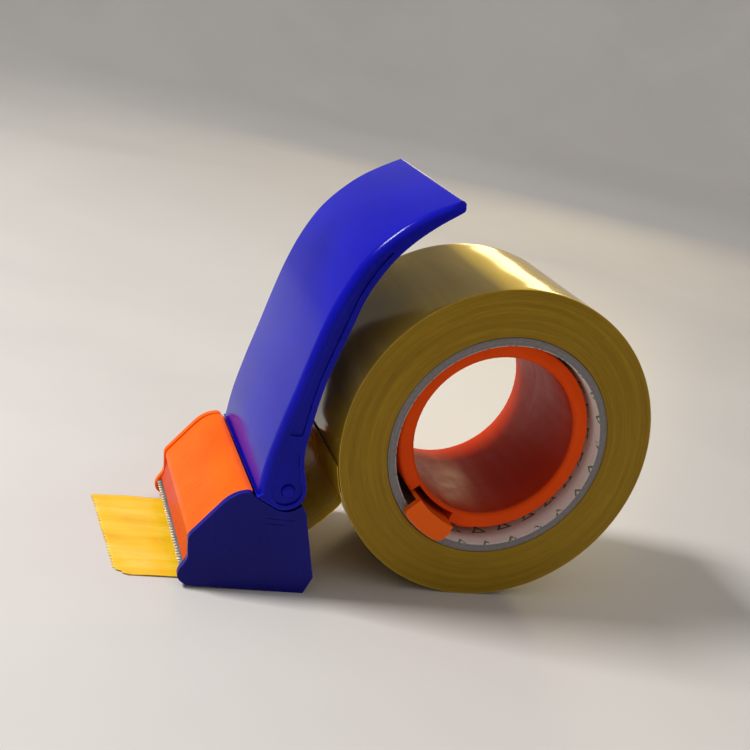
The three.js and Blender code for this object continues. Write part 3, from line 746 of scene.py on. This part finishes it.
# ---------------------------------------------------------------- near side plate
PLATE_BENDS = [           # start, corner, end and steps, from the ear over the nose to the foot
    ((-85.9, 35.0), (-86.3, 36.7), (-88.2, 36.6), 6),
    ((-88.2, 36.6), (-92.6, 35.9), (-95.8, 31.9), 10),
    ((-104.6, 20.0), (-105.5, 18.8), (-105.3, 17.6), 5),
    ((-104.5, 12.0), (-104.4, 10.3), (-105.2, 9.0), 5),
    ((-106.2, 7.2), (-107.6, 4.4), (-105.8, 2.4), 8),
    ((-104.2, 1.2), (-103.6, 0.8), (-102.5, 0.8), 4),
]


def plate_outline():
    """Side view of the near plate, from its rear foot round the handle's ear and the nose."""
    out = [(-62.3, 0.0), (-59.8, 6.3), (-67.1, 30.9)]
    out += arc(PIN_X, PIN_Z, EAR_RADIUS + 0.6, -40, -126, 20)
    for start, corner, end, steps in PLATE_BENDS:
        if start != out[-1]:
            out.append(start)
        out += bend(start, corner, end, steps)
    return out


POST_RADIUS = 3.2
POST_BORE = 1.5
GROOVES = ((-80.2, -70.0, 27.6, 0.4), (-80.6, -73.5, 25.6, 0.3))      # from x, to x, height, fall
GROOVE_WIDTH = 0.5
GROOVE_DEPTH = 0.3


def near_plate():
    """The skin with its lug, roller boss and two posts on the inside, and its holes."""
    skin = prism("plate_skin", plate_outline(), -HALF_BODY, -SKIN_INNER)
    root = -SKIN_INNER - BITE
    lug = [(-67.6, 26), (-69.7, 35.2), *arc(PIN_X, PIN_Z, 5.3, -25, 205, 24), (-81.6, 31), (-81.6, 26)]
    combine(skin, prism("plate_lug", lug, root, -WEB_INNER), "UNION")
    combine(skin, prism("plate_boss", disc_outline(GUIDE_X, GUIDE_Z, 4.2), root, -WEB_INNER), "UNION")
    for name in BODY_SCREWS:
        x, z = middle(name, 0), middle(name, 2)
        post = disc_outline(x, z, POST_RADIUS)
        combine(skin, prism("plate_post", post, root, WEB_INNER - GAP), "UNION")
        bore = disc_outline(x, z, POST_BORE, 20)
        combine(skin, prism("plate_bore", bore, 22, HALF_BODY), "DIFFERENCE")
    combine(skin, prism("plate_pin", disc_outline(PIN_X, PIN_Z, 2.6), -50, 0), "DIFFERENCE")
    axle = disc_outline(GUIDE_X, GUIDE_Z, 1.7, 20)
    combine(skin, prism("plate_axle", axle, -SKIN_INNER, 0), "DIFFERENCE")
    for x0, x1, z, fall in GROOVES:
        groove = [(x0, z), (x1, z - fall), (x1, z - fall + GROOVE_WIDTH), (x0, z + GROOVE_WIDTH)]
        tool = prism("plate_groove", groove, -HALF_BODY - 1, -HALF_BODY + GROOVE_DEPTH)
        combine(skin, tool, "DIFFERENCE")
    skin.name = "near_plate_moulding"
    soften(skin, 0.8, angle=40, segments=4)
    return finish_piece(skin, "body", ["near_side_plate"], PLATE_SHADED_BLUE)


near_plate()


# ---------------------------------------------------------------- top cover
COVER_FRONT = -103.4      # the front wall's outside leans forward of this x
COVER_CROWN = [(-86.0, 36.2), (-88.4, 36.4), (-92.2, 34.7), (-95.4, 31.6), (-99.8, 25.7), (-104.0, 20.0)]
COVER_WEB = [(-96.6, 28.9), (-93.2, 32.4), (-91.6, 31.0), (-94.6, 27.4)]
SCREW_BORE = 1.5


def cover():
    """A curved sheet that turns down into the front wall, with webs on its inside."""
    crown = spline(COVER_CROWN, 40)
    bottom = node_span("top_cover", 2)[0]
    nose = bend((-104.0, 20.0), (-105.2, 18.4), (-104.7, 16.9), 8)
    wall = [(COVER_FRONT - 0.5, 16.0), (COVER_FRONT - 0.9, 10.5), (COVER_FRONT - 1.6, bottom)]
    inside = [(COVER_FRONT + WALL, 16.0), (COVER_FRONT + WALL, bottom + 1.3)]
    section = [*crown, *nose, *wall, *reversed([*offset(crown, WALL), *inside])]
    shell = prism("cover_moulding", section, -SKIN_INNER + GAP, SKIN_INNER - GAP)
    for y in (-26, -13, 0, 13, 26):
        combine(shell, prism("cover_web", COVER_WEB, y - 0.6, y + 0.6), "UNION")
    for name in BLADE_SCREWS:
        y, z = middle(name, 1), middle(name, 2)
        ring = [(y + b, z + c) for b, c in arc(0, 0, SCREW_BORE, 0, 342, 19)]
        combine(shell, crosswise("cover_bore", ring, COVER_FRONT + 0.9, COVER_FRONT + 6), "DIFFERENCE")
    soften(shell, 0.5)
    return finish_piece(shell, "body", ["top_cover"], COVER_ORANGE)


cover()


# ---------------------------------------------------------------- roll of tape and its core
FACE_RINGS = 64           # uneven layers on the roll's sides
TREAD_ROWS = 12


def tape_roll():
    draw = random.Random(11)
    inner, outer, half = CORE_RADIUS + 0.2, ROLL_RADIUS, HALF_TAPE
    face = []
    for k in range(FACE_RINGS + 1):
        r = inner + 0.25 + (outer - 0.5 - inner) * k / FACE_RINGS
        face.append((r, draw.uniform(0.0, 0.10) + 0.05 * math.sin(r * 1.9)))
    near = [(r, -half + 0.05 + max(depth, 0.0)) for r, depth in face]
    far = [(r, half - 0.05 - max(depth, 0.0)) for r, depth in face]
    rim = [(outer - 0.12, -half + 0.08), (outer - 0.02, -half + 0.22), (outer, -half + 0.5)]
    tread = []
    for k in range(TREAD_ROWS + 1):
        dip = 0.05 * (0.5 + 0.5 * math.cos(k))
        tread.append((outer - dip, -half + 3 + k * (2 * half - 6) / TREAD_ROWS))
    back = [(r, -y) for r, y in reversed(rim)]
    profile = [(inner, -half + 0.3), *near, *rim, *tread, *back, *reversed(far), (inner, half - 0.3)]
    roll = turned("wound_tape", profile, 256)
    smooth(roll)
    return finish_piece(roll, "roll", ["tape_roll"], WOUND)


def tape_core():
    draw = random.Random(5)
    inner, outer, half = CORE_BORE, CORE_RADIUS, HALF_TAPE
    end = []
    for k in range(11):
        end.append((inner + 0.25 + (outer - inner - 0.5) * k / 10, draw.uniform(0.0, 0.12)))
    near = [(r, -half + 0.02 + depth) for r, depth in end]
    far = [(r, half - 0.02 - depth) for r, depth in reversed(end)]
    bore = [(inner, half - 0.35), (inner + 0.03, half / 2), (inner, 0),
            (inner + 0.03, -half / 2), (inner, -half + 0.35)]
    profile = [*near, (outer, -half + 0.3), (outer, half - 0.3), *far, *bore]
    core = turned("paper_core", profile, 192)
    smooth(core)
    return finish_piece(core, "roll", ["tape_core"], PAPER)


tape_roll()
tape_core()


# ---------------------------------------------------------------- free end of the tape
TAIL_LEAN = 4.4           # how much shorter the film is along its near side
TAIL_START = -107         # x where the film has left the blade
TAIL_Z = 0.5
FLAT_END = 11             # length behind the torn end without a row of points
FREE_LENGTH = 15          # length over which the tail's waves grow
TORN_CORNER = 4           # width of the corner that tore off askew
FILM_COLUMNS = 121
FILM_THICKNESS = 0.16
FILM_LOWEST = 0.25
WAVES = ((0.16, 0.23, 0.21), (0.12, 0.71, -0.16))      # height, and radians per mm across and along
TOOTH_DEPTH = 1.1
TOOTH_COLUMNS = 4


def strip_path():
    """Side view of the film: round the roll, under the guide roller and out along the table."""
    path = arc(0, ROLL_Z, ROLL_RADIUS + GAP + 0.2, 192, 205, 6)
    path += [(-53.8, 32.2), (-54.6, 30.9), (-57.2, 27.6), (-61.4, 23.0)]
    path += arc(GUIDE_X, GUIDE_Z, 5.5, 317, 272, 8)
    path += [(-92, 1.3), (-97, 0.9), (-102, 0.6), (TAIL_START, TAIL_Z)]
    reach = TAIL_END + FLAT_END - TAIL_START
    tail = [(TAIL_START + reach * k / 12, TAIL_Z) for k in range(1, 13)] + 2 * [(TAIL_END, TAIL_Z)]
    return spline(path, len(path) * 4) + tail


def torn_edge(y):
    """The x of the torn end at a y, and how much of its near corner is missing there."""
    missing = max(0.0, (-HALF_TAPE + TORN_CORNER) - y) * 0.9
    return TAIL_END + TAIL_LEAN * (HALF_TAPE - y) / (2 * HALF_TAPE), missing


def strip():
    """The film as a sheet of points, with waves in its free end and a toothed torn edge."""
    path = strip_path()
    bm = bmesh.new()
    rows = []
    for i, (x, z) in enumerate(path):
        row = []
        for c in range(FILM_COLUMNS):
            y = -HALF_TAPE + 2 * HALF_TAPE * c / (FILM_COLUMNS - 1)
            ax, az = x, z
            free = max(0.0, min(1.0, (TAIL_START - x) / FREE_LENGTH))
            if free > 0:
                wave = sum(height * math.sin(y * across + x * along) for height, across, along in WAVES)
                az = max(az + free * wave, FILM_LOWEST)
            edge, missing = torn_edge(y)
            if i == len(path) - 2:
                ax = edge + 1.9 + missing
            if i == len(path) - 1:
                step = (c % TOOTH_COLUMNS) / TOOTH_COLUMNS
                tooth = TOOTH_DEPTH * (step if step <= 0.5 else 1 - step) * 2
                torn = 0.5 * math.sin(y * 0.9) * math.sin(y * 0.31)
                ax = edge + 1.5 - tooth + torn * 0.25 + missing
            row.append(bm.verts.new(place(ax, y, az)))
        rows.append(row)
    for a, b in zip(rows, rows[1:]):
        for c in range(FILM_COLUMNS - 1):
            bm.faces.new([a[c], a[c + 1], b[c + 1], b[c]])
    film = from_bmesh("tape_end_film", bm)
    thick = film.modifiers.new("thickness", "SOLIDIFY")
    thick.thickness = FILM_THICKNESS * MM
    thick.offset = 0.0
    smooth(film)
    return finish_piece(film, "body", ["tape_strip"], FILM)


strip()


# ---------------------------------------------------------------- latch that holds the core
FINGER_INNER, FINGER_OUTER, HOOK_OUTER = 34.2, 35.5, 41.6      # radii about the hub's axis
FINGER_START, FINGER_END = 222.5, 251.5                        # degrees about the hub's axis
TONGUE_THICKNESS = 2.6


def on_hub(radius, degrees):
    return arc(HUB_X, HUB_Z, radius, degrees, degrees, 1)[0]


def latch():
    """Springy finger inside the core, with a hooked tongue over the core's edge."""
    y_low, y_high = node_span("core_latch", 1)
    inner, outer = FINGER_INNER, HOOK_OUTER
    finger = [*arc(HUB_X, HUB_Z, inner, FINGER_START, FINGER_END, 20),
              *arc(HUB_X, HUB_Z, FINGER_OUTER, FINGER_END, FINGER_START, 20)]
    piece = prism("latch_moulding", finger, y_low, y_high)
    tip = bend(on_hub(inner + 0.8, 250.6), on_hub(inner + 1.8, 252.0), on_hub(inner + 3.4, 251.6), 5)
    end = bend(on_hub(outer - 3.2, 250.8), on_hub(outer - 0.2, 250.2), on_hub(outer, 245.6), 8)
    start = bend(on_hub(outer, 225.0), on_hub(outer - 0.2, 223.2), on_hub(outer - 1.4, 222.9), 4)
    tongue = [*arc(HUB_X, HUB_Z, inner, FINGER_START, 249.6, 20), *tip, *end,
              *arc(HUB_X, HUB_Z, outer, 244.0, 226.0, 12), *start]
    combine(piece, prism("latch_tongue", tongue, y_low, y_low + TONGUE_THICKNESS), "UNION")
    soften(piece, 0.55)
    return finish_piece(piece, "latch", ["core_latch"], ORANGE)


latch()


# ---------------------------------------------------------------- floor, light and camera
FLOOR_RADIUS = 1.3        # metres
SWEEP_RADIUS = 0.9        # of the curve from the floor up into the wall


def stage():
    """Pale floor whose rim sweeps up into a wall all round."""
    profile = [(0.3, 0.0), (0.7, 0.0), (FLOOR_RADIUS, 0.0)]
    for degrees in range(6, 91, 6):
        turn = math.radians(degrees)
        profile.append((FLOOR_RADIUS + SWEEP_RADIUS * math.sin(turn),
                        SWEEP_RADIUS - SWEEP_RADIUS * math.cos(turn)))
    profile += [(FLOOR_RADIUS + SWEEP_RADIUS, 1.5)]
    bm = bmesh.new()
    centre = bm.verts.new((0, 0, 0))
    rows = []
    for r, z in profile:
        rows.append([bm.verts.new((r * math.cos(math.radians(t)), r * math.sin(math.radians(t)), z))
                     for t in range(0, 360, 5)])
    count = len(rows[0])
    for i in range(count):
        bm.faces.new([centre, rows[0][i], rows[0][(i + 1) % count]])
    for a, b in zip(rows, rows[1:]):
        for i in range(count):
            j = (i + 1) % count
            bm.faces.new([a[i], b[i], b[j], a[j]])
    ground = from_bmesh("floor", bm)
    smooth(ground)
    s = Shader("floor_finish")
    cloud = s.noise(s.position(), 3.0, 5, 0.6, 0.6)
    fine = s.noise(s.position(), 240, 3, 0.6)
    s.base(Base_Color=s.mix(s.remap(cloud, 0.3, 0.7, 0.0, 1.0), (0.60, 0.58, 0.565), (0.66, 0.64, 0.62)),
           Roughness=s.remap(cloud, 0.3, 0.7, 0.34, 0.5), Normal=s.bump(fine, 0.03, 0.0002))
    ground.data.materials.append(s.material)


stage()


def area_light(name, where, aim, size, power, color):
    data = bpy.data.lights.new(name, "AREA")
    data.shape = "RECTANGLE"
    data.size, data.size_y = size
    data.energy = power
    data.color = color
    lamp = new_object(name, data)
    lamp.visible_camera = False
    lamp.location = where
    lamp.rotation_mode = "QUATERNION"
    lamp.rotation_quaternion = (Vector(aim) - Vector(where)).to_track_quat("-Z", "Y")


# place, aim, size, watts and colour, in metres from the frame's origin
area_light("key", (-0.80, 0.16, 1.00), (0.0, 0.0, 0.06), (0.30, 0.26), 16.5, (1.0, 0.98, 0.95))
area_light("back", (0.44, 0.86, 0.30), (0.06, 0.0, 0.10), (0.40, 0.13), 0.75, (1.0, 0.80, 0.42))

world = bpy.data.worlds.new("studio")
bpy.context.scene.world = world
world.use_nodes = True
background = world.node_tree.nodes["Background"]
background.inputs["Color"].default_value = (0.86, 0.84, 0.82, 1.0)
background.inputs["Strength"].default_value = 0.50

view = bpy.context.scene.view_settings
view.view_transform = "Standard"
view.look = "None"

CAMERA_AT = (-184.1, -400.3, 206.2)
CAMERA_AIM = (-41.0, 0.0, 70.2)
CAMERA_ROLL = 12.68       # degrees about the line of sight
CAMERA_LENS = 59.34       # focal length and sensor in millimetres
SENSOR_WIDTH = 36.0

camera_data = bpy.data.cameras.new("camera")
camera_data.lens = CAMERA_LENS
camera_data.sensor_width = SENSOR_WIDTH
camera_data.clip_start = 0.01
camera_data.clip_end = 30.0
camera = new_object("camera", camera_data)
camera.location = place(*CAMERA_AT)
aim = place(*CAMERA_AIM) - place(*CAMERA_AT)
turn = aim.to_track_quat("-Z", "Y").to_matrix().to_4x4()
roll_turn = Matrix.Rotation(math.radians(CAMERA_ROLL), 4, "Z")
camera.matrix_world = Matrix.Translation(place(*CAMERA_AT)) @ turn @ roll_turn
bpy.context.scene.camera = camera
